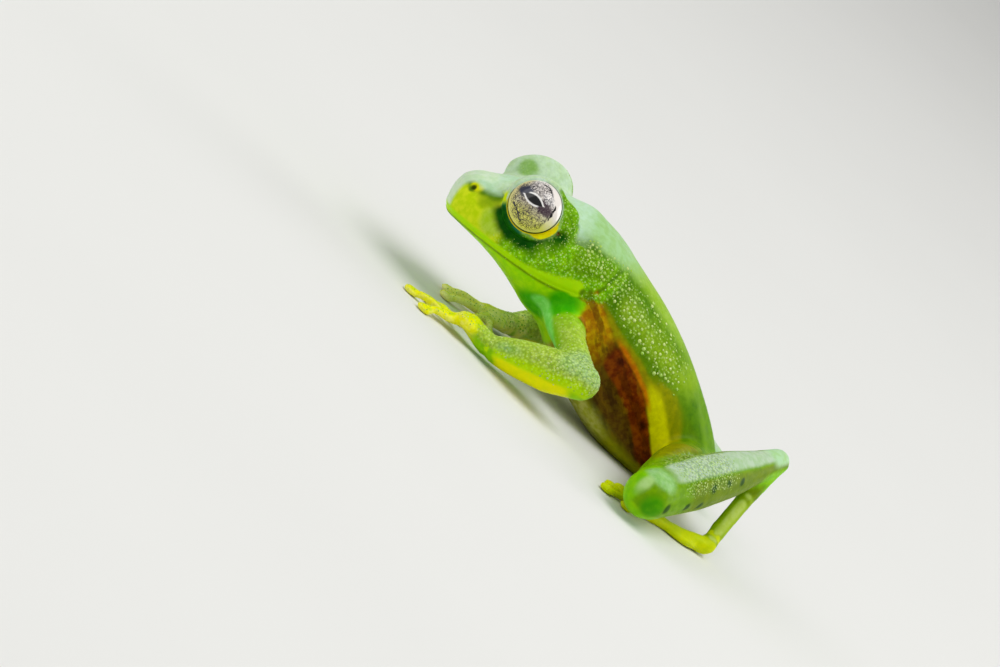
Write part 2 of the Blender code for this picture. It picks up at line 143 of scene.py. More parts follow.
def rowsOf(items, field):
    flat = np.empty(len(items) * 3, np.float32)
    items.foreach_get(field, flat)
    return flat.reshape(-1, 3).astype(float)


def pointsOf(obj):
    return rowsOf(obj.data.vertices, "co")


def normalsOf(obj):
    return rowsOf(obj.data.vertex_normals, "vector")


def placePoints(obj, points):
    obj.data.vertices.foreach_set("co", points.astype(np.float32).ravel())
    obj.data.update()


def ramp(low, high, values):
    share = np.clip((values - low) / (high - low), 0, 1)
    return share * share * (3 - 2 * share)


def fall(low, high, values):
    return 1 - ramp(low, high, values)


def hump(values, centre, width):
    return np.exp(-(((values - centre) / width) ** 2))


def between(low, high, values, soft=0.25):
    return ramp(low - soft, low + soft, values) * fall(high - soft, high + soft, values)


def apartFrom(points, place, stretch=1):
    return np.linalg.norm((points - np.array(place)) * stretch, axis=1)


def apartOnHead(head, name, side):
    # how far head places lie from one of the named ones, on one side
    ahead, left, up = frogMap[name]
    return apartFrom(head, (ahead, side * left, up))


def addObject(name, data):
    made = bpy.data.objects.new(name, data)
    bpy.context.scene.collection.objects.link(made)
    return made


def placesTree(places):
    tree = KDTree(len(places))
    for number, place in enumerate(places):
        tree.insert(place, number)
    tree.balance()
    return tree


def editMesh(obj, *steps):
    # mesh operators in edit mode, each with its settings
    activate(obj)
    bpy.ops.object.mode_set(mode="EDIT")
    for operator, settings in steps:
        operator(**settings)
    bpy.ops.object.mode_set(mode="OBJECT")


# The skin: one closed surface grown over the flesh nodes

skin = {
    "bridging": 0.9,  # share of a gap between two nodes that each of them reaches over
    "gapReach": 0.37,
    "kneeReach": 2.5,  # a folded leg is closed only this near the knee
    "voxel": 0.125,
    "bodyRounds": 12,
    "digitRounds": 3,
    "digitFade": 0.9,
    "fineReach": 0.35,
    "fineRounds": 2,
    "moundRounds": 40,
    "kept": 0.48,  # share of the triangles kept at the end
}


def fleshCopy(node):
    # the node's mesh on the frog's map, its loose triangles merged
    copy = addObject("flesh_" + node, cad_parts[node].data.copy())
    copy.data.transform(Matrix.Scale(1 / mm, 4) @ Matrix.Translation(-mapOrigin))
    merging = (bpy.ops.mesh.remove_doubles, {"threshold": 0.001})
    editMesh(copy, (bpy.ops.mesh.select_all, {"action": "SELECT"}), merging)
    return copy


def treeOf(obj):
    polygons = [tuple(face.vertices) for face in obj.data.polygons]
    return BVHTree.FromPolygons([vertex.co.copy() for vertex in obj.data.vertices], polygons)


def bridgeGap(first, second, near=None):
    # both nodes reach across the thin cut between them, or only near a place
    trees = {first: treeOf(second), second: treeOf(first)}
    for obj, tree in trees.items():
        for vertex in obj.data.vertices:
            if near and (vertex.co - near).length > skin["kneeReach"]:
                continue
            place = tree.find_nearest(vertex.co, skin["gapReach"])[0]
            if place:
                vertex.co += (place - vertex.co) * skin["bridging"]


limbChains = (("torso", "upper_arm", "forearm", "hand"), ("torso", "thigh"), ("shank", "tarsus", "foot"))


def growSkin():
    flesh = {name: fleshCopy(name) for name in sorted(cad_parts) if not name.startswith("eye")}
    bridgeGap(flesh["head"], flesh["torso"])
    for word, side in sides.items():
        for chain in limbChains:
            names = [name if name == "torso" else name + "_" + word for name in chain]
            for one, other in zip(names, names[1:]):
                bridgeGap(flesh[one], flesh[other])
        knee = onMap(*limbJoints["knee"][side])
        bridgeGap(flesh["thigh_" + word], flesh["shank_" + word], near=knee)
    fillers = []
    for side in sides.values():
        ball = {"segments": 64, "ring_count": 40, "radius": frogMap["socketRadius"]}
        clearSelection()
        bpy.ops.mesh.primitive_uv_sphere_add(location=lidFrame(side)[0], **ball)
        fillers.append(bpy.context.object)
    labels = placesTree([vertex.co for obj in flesh.values() for vertex in obj.data.vertices])
    names = [name for name, obj in flesh.items() for vertex in obj.data.vertices]
    clearSelection()
    for obj in list(flesh.values()) + fillers:
        obj.select_set(True)
    grown = flesh["torso"]
    bpy.context.view_layer.objects.active = grown
    bpy.ops.object.join()
    grown.name = "frogSkin"
    apply(grown, "REMESH", mode="VOXEL", voxel_size=skin["voxel"], use_smooth_shade=True)
    return grown, labels, names


frogSkin, cadLabels, cadNames = growSkin()
print("skin grown:", len(frogSkin.data.polygons), "faces")


def smoothBy(obj, weights, rounds):
    group = obj.vertex_groups.new(name="soften")
    for level in np.unique(np.round(weights, 2)):
        chosen = np.nonzero(np.round(weights, 2) == level)[0]
        group.add([int(index) for index in chosen], float(level), "REPLACE")
    apply(obj, "SMOOTH", factor=0.5, iterations=rounds, vertex_group=group.name)
    obj.vertex_groups.clear()


def nearDigits(points):
    # 1 on hands and feet, falling to 0 over a short way up the limb
    return fall(0.25, skin["digitFade"], np.array([digitTree.find(point)[2] for point in points]))


def eyePolar(points, side):
    # way and distance from the eye's centre, degrees off the lids' axis, and degrees round it, where
    # 0 is in front of the eye, 90 above, 180 behind and 270 below
    centre, axis, front, top = lidFrame(side)
    rest = points - np.array(centre)
    reach = np.linalg.norm(rest, axis=1)
    along = np.clip(rest @ np.array(axis) / np.maximum(reach, 1e-6), -1, 1)
    off = np.degrees(np.arccos(along))
    around = np.degrees(np.arctan2(rest @ np.array(top), rest @ np.array(front))) % 360
    return rest, reach, off, around


def arc(around, middle, half, fade):
    # 1 inside a stretch of the lids' circle, fading out at both ends
    turn = np.abs((around - middle + 180) % 360 - 180)
    return fall(half, half + fade, turn)


lids = {
    "hidden": 1.6,  # the skin goes this far in under the eyeball
    "edge": (68, 79),  # degrees off the axis over which the lid comes up
    "leave": (74, 20),  # where the skin begins to rise from the lid's edge, and over how many degrees
    "leaveMoat": (24, 2),  # how much later and longer it does so in the groove
    "hood": 11,  # the upper lid comes this much further down over the eye
    "hoodArc": (55, 20, 45),  # each arc: its middle, half its length and how far it fades, in degrees
    "reach": 1.96,
    "goldReach": 2.02,
    "goldArc": (225, 30, 30),
    "moat": (292, 62, 40),  # the groove below and ahead of the eye
    "moatDepth": 0.12,
    "mound": 2.05,
    "moundRear": {1: 0.68, -1: 0.3},
    "rearArc": (165, 15, 55),
    "crest": {1: 1.9, -1: 2.36},  # the brow's height over the eye's centre, as seen along the eyes
    "browArc": (82, 50, 38),
    "roundness": 14,
}
mouth = {
    # how far ahead of the eyes, and how far above them
    "line": ((-4.6, -3.36), (-3.1, -3.46), (-2.1, -3.41), (0.9, -3.04), (4.6, -2.58)),
    "cornerFade": 0.25,
    "depth": 0.032,
    "width": 0.07,
    "lipRise": 0.03,
    "lipWidth": 0.2,
}


def mouthOffset(head):
    # height above the line of the mouth, and 1 along the line, falling to 0 behind its corner
    ahead, up = head[:, 0], head[:, 2]
    places, levels = zip(*mouth["line"])
    corner, fade = frogMap["mouthCorner"], mouth["cornerFade"]
    return up - np.interp(ahead, places, levels), ramp(corner - fade, corner + fade, ahead)


def refineDetails(obj):
    # a finer net at the mouth, eyes, nostrils, hands and feet
    points = pointsOf(obj)
    head = headPlaces(points)
    offset, share = mouthOffset(head)
    fine = (np.abs(offset) < skin["fineReach"]) & (share > 0)
    for side in sides.values():
        reach, off = eyePolar(points, side)[1:3]
        fine |= (reach < 2.7) & (off < 112)
        for name in ("nostril", "eardrum"):
            fine |= apartOnHead(head, name, side) < 0.8
    fine |= nearDigits(points) > 0.5
    none = (bpy.ops.mesh.select_all, {"action": "DESELECT"})
    editMesh(obj, (bpy.ops.mesh.select_mode, {"type": "FACE"}), none)
    for face in obj.data.polygons:
        face.select = all(fine[index] for index in face.vertices)
    editMesh(obj, (bpy.ops.mesh.subdivide, {"number_cuts": 1}))


def moundFoot(points):
    # what is softened: the foot of the swelling round each eye, the eardrums and the mouth
    weights = np.zeros(len(points))
    head = headPlaces(points)
    for side in sides.values():
        reach, off = eyePolar(points, side)[1:3]
        foot = ramp(80, 92, off) * ramp(2.2, 2.5, reach) * fall(3, 3.6, reach)
        drum = fall(0.7, 1.1, apartOnHead(head, "eardrum", side))
        weights = np.maximum(weights, np.maximum(foot, drum))
    offset, share = mouthOffset(head)
    return np.maximum(weights, share * fall(0.3, 0.6, np.abs(offset)))


def shapeLids(obj):
    points = pointsOf(obj)
    for side in sides.values():
        centre = np.array(lidFrame(side)[0])
        rest, reach, off, around = eyePolar(points, side)
        moat = arc(around, *lids["moat"])
        lid = lids["reach"] + (lids["goldReach"] - lids["reach"]) * arc(around, *lids["goldArc"])
        hood = lids["hood"] * arc(around, *lids["hoodArc"])
        shaped = lids["hidden"] + (lid - lids["hidden"]) * ramp(*lids["edge"], off + hood)
        shaped -= lids["moatDepth"] * moat * hump(off, 100, 9)
        start, length = lids["leave"]
        later, longer = lids["leaveMoat"]
        share = (off - start - later * moat) / (length + longer * moat)
        back = np.maximum(ramp(0, 1, share), ramp(2.36, 2.8, reach) * ramp(84, 92, off))
        mound = lids["mound"] + lids["moundRear"][side] * arc(around, *lids["rearArc"])
        mound = np.maximum(reach, mound - 0.5 * ramp(96, 130, off))
        outer = reach + (mound - reach) * (1 - moat) * fall(104, 132, off)
        brow = arc(around, *lids["browArc"])
        if side > 0:
            low = lids["crest"][side] / np.sin(np.radians(np.clip(off - 8.5, 50, 130)))
            outer += (np.minimum(outer, low) - outer) * brow * fall(116, 134, off)
        else:
            outer += np.maximum(0, lids["crest"][side] - outer) * brow * fall(96, 120, off)
        wanted = shaped + (outer - shaped) * back
        near = (reach < 3) & (off < 134)
        moved = centre + rest / np.maximum(reach, 1e-6)[:, None] * wanted[:, None]
        points = np.where(near[:, None], moved, points)
    placePoints(obj, points)


def moundCrest(points):
    weights = np.zeros(len(points))
    for side in sides.values():
        reach, off, around = eyePolar(points, side)[1:]
        crest = ramp(80, 90, off) * ramp(1.98, 2.1, reach) * fall(2.9, 3.3, reach)
        weights = np.maximum(weights, crest * (1 - arc(around, *lids["moat"])))
    return weights


faceForms = (
    # a named place of the head: how far its ring rises or sinks, the ring's radius and its width
    ("nostril", -0.08, 0, 0.12),
    ("nostril", 0.015, 0.3, 0.15),
    ("snoutCorner", 0.13, 0, 0.8),
    ("snoutTip", 0.08, 0, 0.9),
    ("nape", 0.2, 0, 1.2),
    ("eardrum", 0.015, 0.6, 0.1),
    ("eardrum", -0.02, 0.44, 0.09),
)


def shapeFace(obj):
    # the line of the mouth with its lips, and the forms above
    points = pointsOf(obj)
    normals = normalsOf(obj)
    head = headPlaces(points)
    offset, share = mouthOffset(head)
    lips = hump(offset, 0.24, mouth["lipWidth"]) + 0.2 * hump(offset, -0.24, mouth["lipWidth"])
    rise = mouth["lipRise"] * lips - mouth["depth"] * hump(offset, 0, mouth["width"])
    rise *= share * (np.abs(offset) < 1)
    for side in sides.values():
        for name, height, radius, width in faceForms:
            rise += height * hump(apartOnHead(head, name, side), radius, width)
    placePoints(obj, points + normals * rise[:, None])


digitNodes = [node for name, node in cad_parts.items() if name.startswith(("hand", "foot"))]
digitTree = placesTree([(vertex.co - mapOrigin) / mm for node in digitNodes for vertex in node.data.vertices])
digits = nearDigits(pointsOf(frogSkin))
smoothBy(frogSkin, 1 - digits, skin["bodyRounds"])
smoothBy(frogSkin, digits, skin["digitRounds"])
refineDetails(frogSkin)
smoothBy(frogSkin, 1 - 0.6 * nearDigits(pointsOf(frogSkin)), skin["fineRounds"])
smoothBy(frogSkin, moundFoot(pointsOf(frogSkin)), skin["moundRounds"])
shapeLids(frogSkin)
smoothBy(frogSkin, moundCrest(pointsOf(frogSkin)), lids["roundness"])
shapeFace(frogSkin)
print("skin shaped")

# Borders of the colours on the frog's side, as forward and height on the map

sideCurves = {
    "bandTop": (
        (5.3, 5.4), (7.08, 6.83), (8.52, 7.56), (10.53, 8.19),
        (12.9, 8.89), (14.7, 9.3), (16.47, 9.33), (18.03, 9.47),
    ),
    "bandFoot": (
        (5.3, 4.6), (7.54, 5.59), (9.23, 5.7), (11.31, 6.26),
        (13.0, 6.6), (14.78, 7.2), (16.3, 8.27), (17.56, 8.35),
    ),
    "fringe": (
        (5.28, 1.94), (5.87, 3.04), (6.97, 4.08), (8.24, 4.96),
        (9.87, 5.53), (11.58, 6.02), (13.0, 6.37), (14.91, 7.08),
    ),
    "gutTop": (
        (5.88, 1.56), (6.94, 2.47), (8.04, 3.51), (9.27, 4.44),
        (10.77, 5.12), (12.1, 5.55), (13.35, 6.05), (15.82, 7.47),
    ),
    "granuleLine": ((9.26, 6.58), (11.59, 7.09), (13.17, 7.4), (15.13, 8.08), (16.61, 8.65)),
    "gutFoot": (
        (8.48, -0.13), (9.82, 1.1), (11.12, 2.36), (12.05, 3.56),
        (13.19, 4.56), (14.18, 5.3), (15.12, 6.08), (16.22, 7.12),
    ),
}
gutHoles = ((11.8, 5.0, 0.26), (8.0, 2.9, 0.32))  # dark hollows: forward, height and radius
skinSpots = {
    # dark dots on the left shank: places on the map
    "left": (
        (5.7, 14.6, 2.1), (4.5, 12.7, 2.6), (3.8, 11.4, 2.9),
        (3.7, 10.8, 4.2), (3.0, 9.2, 4.8), (2.2, 7.8, 5.1),
    ),
    # on the right one: share of the way from knee to heel, and how far the skin faces up
    "right": ((0.12, 0.1), (0.27, 0.0), (0.37, 0.0), (0.46, 0.5), (0.58, 0.6), (0.72, 0.6)),
    "radius": 0.26,
}


def overCurve(name, forward, height):
    # how far a point lies above one of the curves, a little less than straight up, as the curves slope
    curve = np.array(sideCurves[name])
    first = (curve[1] - curve[0])[1] / (curve[1] - curve[0])[0]
    last = (curve[-1] - curve[-2])[1] / (curve[-1] - curve[-2])[0]
    level = np.interp(forward, curve[:, 0], curve[:, 1])
    level += np.minimum(forward - curve[0, 0], 0) * first + np.maximum(forward - curve[-1, 0], 0) * last
    return (height - level) * 0.8


def blob(points, place, radius, soft=0.5):
    # 1 round a place of the map and its mirror, fading out across the radius
    apart = np.minimum(apartFrom(points, onMap(*place)), apartFrom(points * (-1, 1, 1), onMap(*place)))
    return fall(radius * (1 - soft), radius * (1 + soft), apart)


def alongLimb(points, start, end):
    # share of the way between two joints, and the distance from that line
    first, last = np.array(onMap(*start)), np.array(onMap(*end))
    way = last - first
    share = (points - first) @ way / (way @ way)
    foot = first + np.clip(share, 0, 1)[:, None] * way
    return share, np.linalg.norm(points - foot, axis=1)


def skinMasks(points, normals, names):
    # a share from 0 to 1 for each coat; bare numbers are millimetres, or how far the skin faces a way
    forward, left, height = -points[:, 1], points[:, 0], points[:, 2]
    out = np.abs(left)
    head = headPlaces(points)
    ahead = head[:, 0]
    skyward = headPlaces(normals + np.array(onHead(0, 0, 0)))[:, 2]
    facing = fall(0.4, 0.8, skyward)

    def node(word):
        return (np.char.rpartition(names, "_")[:, 0] == word) * 1.0

    isHead = (names == "head") * 1.0
    isTorso = (names == "torso") * 1.0
    shoulder = isTorso * ramp(4.15, 4.5, out) * ramp(12.5, 13.5, forward)
    trunk = isTorso * (1 - shoulder) + isHead * fall(-4.4, -3.2, ahead)
    under = ramp(0.35, 0.8, -normals[:, 2])
    over = {name: overCurve(name, forward, height) for name in sideCurves}
    masks = {}

    masks["belly"] = trunk * under
    low = trunk * fall(0.3, 1.4, over["fringe"])
    masks["olive"] = low * fall(8, 10.5, forward)
    inner = ramp(-0.35, 0.1, over["gutTop"]) * fall(-0.3, 0.3, over["fringe"])
    masks["fringe"] = trunk * inner * fall(15.2, 16.2, forward)
    masks["fringeRear"] = masks["fringe"] * fall(8.0, 10.5, forward)
    masks["fringeGlow"] = trunk * hump(over["gutTop"], 0.08, 0.2) * between(8.3, 12.6, forward, 0.8)
    gut = ramp(-6.5, -4.0, over["gutFoot"]) * fall(-0.25, 0.2, over["gutTop"])
    gut *= fall(15.6, 16.4, forward) * trunk * (1 - under * 0.8)
    masks["gut"] = gut
    masks["gutNeck"] = gut * ramp(11.5, 14, forward)
    masks["gutFront"] = gut * fall(-1.0, 0.6, over["gutFoot"])
    masks["gutEdge"] = gut * between(-1.15, 0.1, over["gutTop"], 0.15) * fall(12.2, 12.9, forward)
    holes = [np.exp(-((forward - g) ** 2 + (height - h) ** 2) / wide ** 2) for g, h, wide in gutHoles]
    masks["gutHoles"] = gut * np.maximum(*holes)
    masks["band"] = trunk * ramp(-0.3, 0.3, over["bandFoot"])
    along = between(6.5, 14.2, forward, 0.8)
    masks["granuleGround"] = 0.6 * trunk * hump(over["granuleLine"], 0.1, 0.8) * along
    cover = isTorso * (1 - shoulder) + isHead * fall(-3.0, -1.8, ahead)
    masks["back"] = cover * ramp(-0.55, 0.35, over["bandTop"])
    masks["backRear"] = masks["back"] * fall(6.5, 11.5, forward)
    # the back's own green, paled towards the head by painted sheen
    masks["nape"] = masks["back"] * ramp(11.5, 16.3, forward)

    offset, share = mouthOffset(head)
    above = ramp(-0.1, 0.2, offset)
    jaw = (isHead + trunk * ramp(15, 15.6, forward)) * ramp(-5.8, -4.8, ahead)
    # painted shade: the nostril's dimple is painted dark
    masks["nostril"] = blob(points, mapOf(*frogMap["nostril"]), 0.2)
    dry = (1 - masks["nostril"]) * ramp(-4.8, -2.4, ahead)
    # painted sheen: the upward-facing top of the head is painted pale
    masks["crownSheen"] = isHead * ramp(0.5, 0.85, skyward) * ramp(1.4, 2.1, offset) * dry
    masks["snout"] = isHead * ramp(0.6, 1.6, ahead) * fall(0.3, 0.7, skyward) * above
    masks["snoutDark"] = blob(points, mapOf(2.5, 2.3, -0.75), 0.75, 0.6) * masks["snout"]
    masks["nostrilGlow"] = blob(points, mapOf(3.5, 1.75, -0.35), 0.5, 0.6) * isHead
    masks["loreal"] = blob(points, mapOf(1.9, 3.3, -1.75), 0.85, 0.6) * isHead
    # painted rim light: the snout's front and its upward-facing ridge are painted pale
    front = ramp(1.6, 3.2, ahead) * fall(0.9, 1.5, out) * above
    ridge = ramp(1.8, 3.0, ahead) * ramp(0.75, 0.95, skyward)
    masks["rim"] = dry * isHead * np.maximum(front, ridge)
    masks["cheek"] = isHead * fall(0.2, 1.8, ahead) * between(-0.1, 3.9, offset) * facing
    masks["temple"] = isHead * between(-9, -3.2, ahead, 0.5) * between(1.2, 3.4, offset, 0.5) * facing
    masks["throat"] = jaw * fall(-0.45, -0.1, offset)
    chest = np.maximum(blob(points, (17.6, 2.4, 4.3), 1.3), blob(points, (16.5, 3.7, 5.3), 1.0))
    masks["chest"] = chest * np.maximum(isTorso, isHead)
    masks["lip"] = jaw * between(-0.16, 0.24 + 0.5 * fall(-3.8, -0.6, ahead), offset, 0.16) * share

    arms = np.zeros(len(points))
    for side in sides.values():
        here = (left * side > 0) * 1.0
        upper = np.maximum(node("upper_arm"), shoulder) * here
        lower = node("forearm") * here
        arms = np.maximum(arms, np.maximum(upper, lower))
        found = lidMasks(points, left * side, side)
        found.update(limbMasks(points, normals, node, side, here, upper, lower))
        for name, values in found.items():
            masks[name] = np.maximum(masks.get(name, 0), values)
    masks["arm"] = np.maximum(arms, node("hand"))
    # painted light: the far hand and arm lie in the body's shade and are painted pale as if lit through from
    # behind
    backlitFar = np.maximum(node("hand"), 0.35 * arms) * (left < 0)
    masks["farArmBacklight"] = backlitFar * ramp(0, 0.5, normals[:, 0])
    digits = np.maximum(masks["hand"], node("foot") * 0.7)
    masks["digitEdge"] = digits * fall(0.55, 0.85, normals[:, 2])
    return masks


def mapOf(ahead, left, up):
    place = onHead(ahead, left, up)
    return (-place.y, place.x, place.z)


def lidMasks(points, outside, side):
    # round one eye: wide is the distance from the lids' axis
    reach, off, around = eyePolar(points, side)[1:]
    wide = reach * np.sin(np.radians(np.minimum(off, 90)))
    near = (reach < 3.6) * (off < 150)
    inside = reach < 2.4
    rear = near * arc(around, 178, 45, 25) * fall(2.75, 3.1, reach)
    grooveWide = 2.0 + 0.0042 * np.clip(315 - around, 0, 110)
    cornerWide = 0.36 * arc(around, 222, 12, 34)
    return {
        # painted sheen on the top of the eye's swelling
        "moundTopSheen": near * arc(around, 90, 75, 20) * fall(2.7, 3.2, reach),
        "moundRear": rear * ramp(1.62, 1.72, wide) * ramp(2.2, 3.0, outside),
        "moundDark": blob(points, mapOf(0.95, 1.5, 1.15), 0.62) * (0.35 if side > 0 else 1) * (outside > 0),
        # painted shade in the groove below and ahead of the eye
        "groove": near * arc(around, 268, 62, 22) * np.minimum(1, 1.5 * hump(wide, grooveWide, 0.36)),
        # painted shade, teal-tinted, in the socket ahead of and below the eye
        "tealShade": near * arc(around, 308, 25, 22) * between(1.5, 2.0, wide, 0.12) * inside,
        "paleLip": near * arc(around, 225, 44, 20) * between(1.5, 1.74 + cornerWide, wide, 0.06) * inside,
        "gold": near * fall(-0.04, 0.06, wide - 1.58 - cornerWide) * arc(around, 225, 36, 12),
        # painted highlight along the lid's front upper edge
        "lidEdgeHighlight": near * arc(around, 40, 42, 20) * fall(1.68, 1.8, wide) * (off < 92),
        "redSpot": near * hump(around, 204, 4.5) * hump(wide, 2.06, 0.1) * (off < 100),
    }


def limbMasks(points, normals, node, side, here, upper, lower):
    # ways run from 0 to 1 along a limb; the left knee and dots follow the photo
    joints = {name: places[side] for name, places in limbJoints.items()}
    up = normals[:, 2]
    outward = normals[:, 0] * side
    elbowWay = alongLimb(points, joints["shoulder"], joints["elbow"])[0]
    wristWay = alongLimb(points, joints["elbow"], joints["wrist"])[0]
    shankWay = alongLimb(points, joints["knee"], joints["heel"])[0]
    boneWay, boneApart = alongLimb(points, (17.7, side * 3.0, 4.6), (15.6, side * 5.4, 3.0))
    apart = {name: apartFrom(points, onMap(*place)) for name, place in joints.items()}
    words = ("hand", "thigh", "shank", "tarsus", "foot")
    hand, thigh, shank, tarsus, foot = (node(word) * here for word in words)
    arm, leg, heel = np.maximum(upper, lower), np.maximum(thigh, shank), np.maximum(shank, tarsus)
    sleeve = np.maximum(arm - 0.3 * upper, hand * fall(0.8, 2.2, apart["wrist"]))
    sleeve = sleeve * ramp(0.05, 0.45, np.where(upper > 0, elbowWay, 1))
    if side > 0:
        core = apartFrom(points, onMap(6.5, 15.2, 1.7))
        highlightPlace = onMap(7.7, 14.9, 2.5)
        dots = [apartFrom(points, onMap(*place), (1, 1, 0.75)) for place in skinSpots["left"]]
        spots = [hump(dot, 0, skinSpots["radius"]) for dot in dots]
    else:
        core = apart["knee"] + 0.6
        highlightPlace = onMap(*joints["knee"]) + Vector((-1.0, -0.6, 0.6))
        dots = [hump(shankWay, way, 0.022) * hump(up, rise, 0.3) for way, rise in skinSpots["right"]]
        spots = [dot * (outward > 0.2) for dot in dots]
    # painted highlight: a pale streak on the knee where light would glint
    highlightApart = apartFrom(points, highlightPlace, (1.4, 1.4, 0.7))
    kneeEnd = leg * fall(1.5, 2.3, apart["knee"]) * fall(0.0, 0.13, shankWay)
    wristSide = ramp(0.3, 0.8, outward) * ramp(-0.3, 0.3, up)
    return {
        "armTop": sleeve * ramp(-0.42, 0.12, up),
        # the elbow's pale granules, with painted sheen on its upward-facing side
        "elbowGrainAndSheen": arm * fall(1.2, 2.6, apart["elbow"]) * ramp(0.0, 0.6, up),
        "armGlow": lower * ramp(-0.55, -0.05, -np.abs(up + 0.25)) * ramp(0.1, 0.6, outward),
        "armYellow": lower * ramp(0.2, 0.52, -up) * between(0.06, 0.92, wristWay, 0.14),
        "hand": hand * ramp(0.7, 2.5, apart["wrist"]),
        "wristFrost": lower * between(0.66, 0.98, wristWay, 0.14) * wristSide,
        "bone": fall(0.15, 0.85, boneApart) * between(-0.15, 1.05, boneWay, 0.1) * here,
        "leg": leg,
        # painted sheen on the shank's upward-facing top
        "shankTopSheen": shank * ramp(0.72, 0.93, up) * ramp(0.02, 0.16, shankWay),
        "shankSide": shank * fall(0.62, 0.84, up) * ramp(-0.7, -0.3, up) * ramp(0.1, 0.25, shankWay),
        "shankGrain": shank * ramp(0.3, 0.6, up) * between(0.14, 0.5, shankWay, 0.06),
        "legUnder": leg * ramp(0.3, 0.7, -up),
        "kneeRim": leg * fall(1.6, 2.4, apart["knee"]) * ramp(0.2, 0.8, np.maximum(-normals[:, 1], -up)),
        # painted sheen on the knee's upward-facing top
        "kneeTopSheen": kneeEnd * ramp(0.5, 0.85, up),
        "thighTop": 0.8 * thigh * ramp(1.8, 5.5, apart["knee"]) * ramp(-0.2, 0.5, up),
        "kneeCore": leg * fall(0.25, 1.25, core),
        "kneeHighlight": leg * fall(0.1, 0.9, highlightApart),
        "legSpots": np.maximum.reduce(spots) * shank * 1.4,
        # painted sheen on the heel's upward-facing top
        "heelTopSheen": heel * fall(1.2, 2.6, apart["heel"]) * ramp(0.3, 0.75, up),
        "heelSide": heel * fall(1.6, 4.4, apart["heel"]) * fall(0.1, 0.5, up),
        "tarsus": tarsus,
        "tarsusStreak": tarsus * ramp(0.72, 0.97, np.abs(normals[:, 0] * 0.6 + up * 0.8)) * (up > 0),
        "foot": foot,
    }


def spread(obj, masks):
    # softens the borders of the masks
    count = len(obj.data.vertices)
    flat = np.empty(len(obj.data.edges) * 2, np.int32)
    obj.data.edges.foreach_get("vertices", flat)
    one, other = flat.reshape(-1, 2).T
    number = np.bincount(one, minlength=count) + np.bincount(other, minlength=count)
    for name in masks:
        values = masks[name].astype(float)
        for turn in range(coats[name][-1] if name in coats else 3):
            total = np.bincount(one, values[other], count) + np.bincount(other, values[one], count)
            values = 0.5 * values + 0.5 * total / np.maximum(number, 1)
        masks[name] = values


def storeMasks(obj, masks):
    for name, values in masks.items():
        layer = obj.data.attributes.new(name, "FLOAT", "POINT")
        layer.data.foreach_set("value", np.clip(values, 0, 1).astype(np.float32))


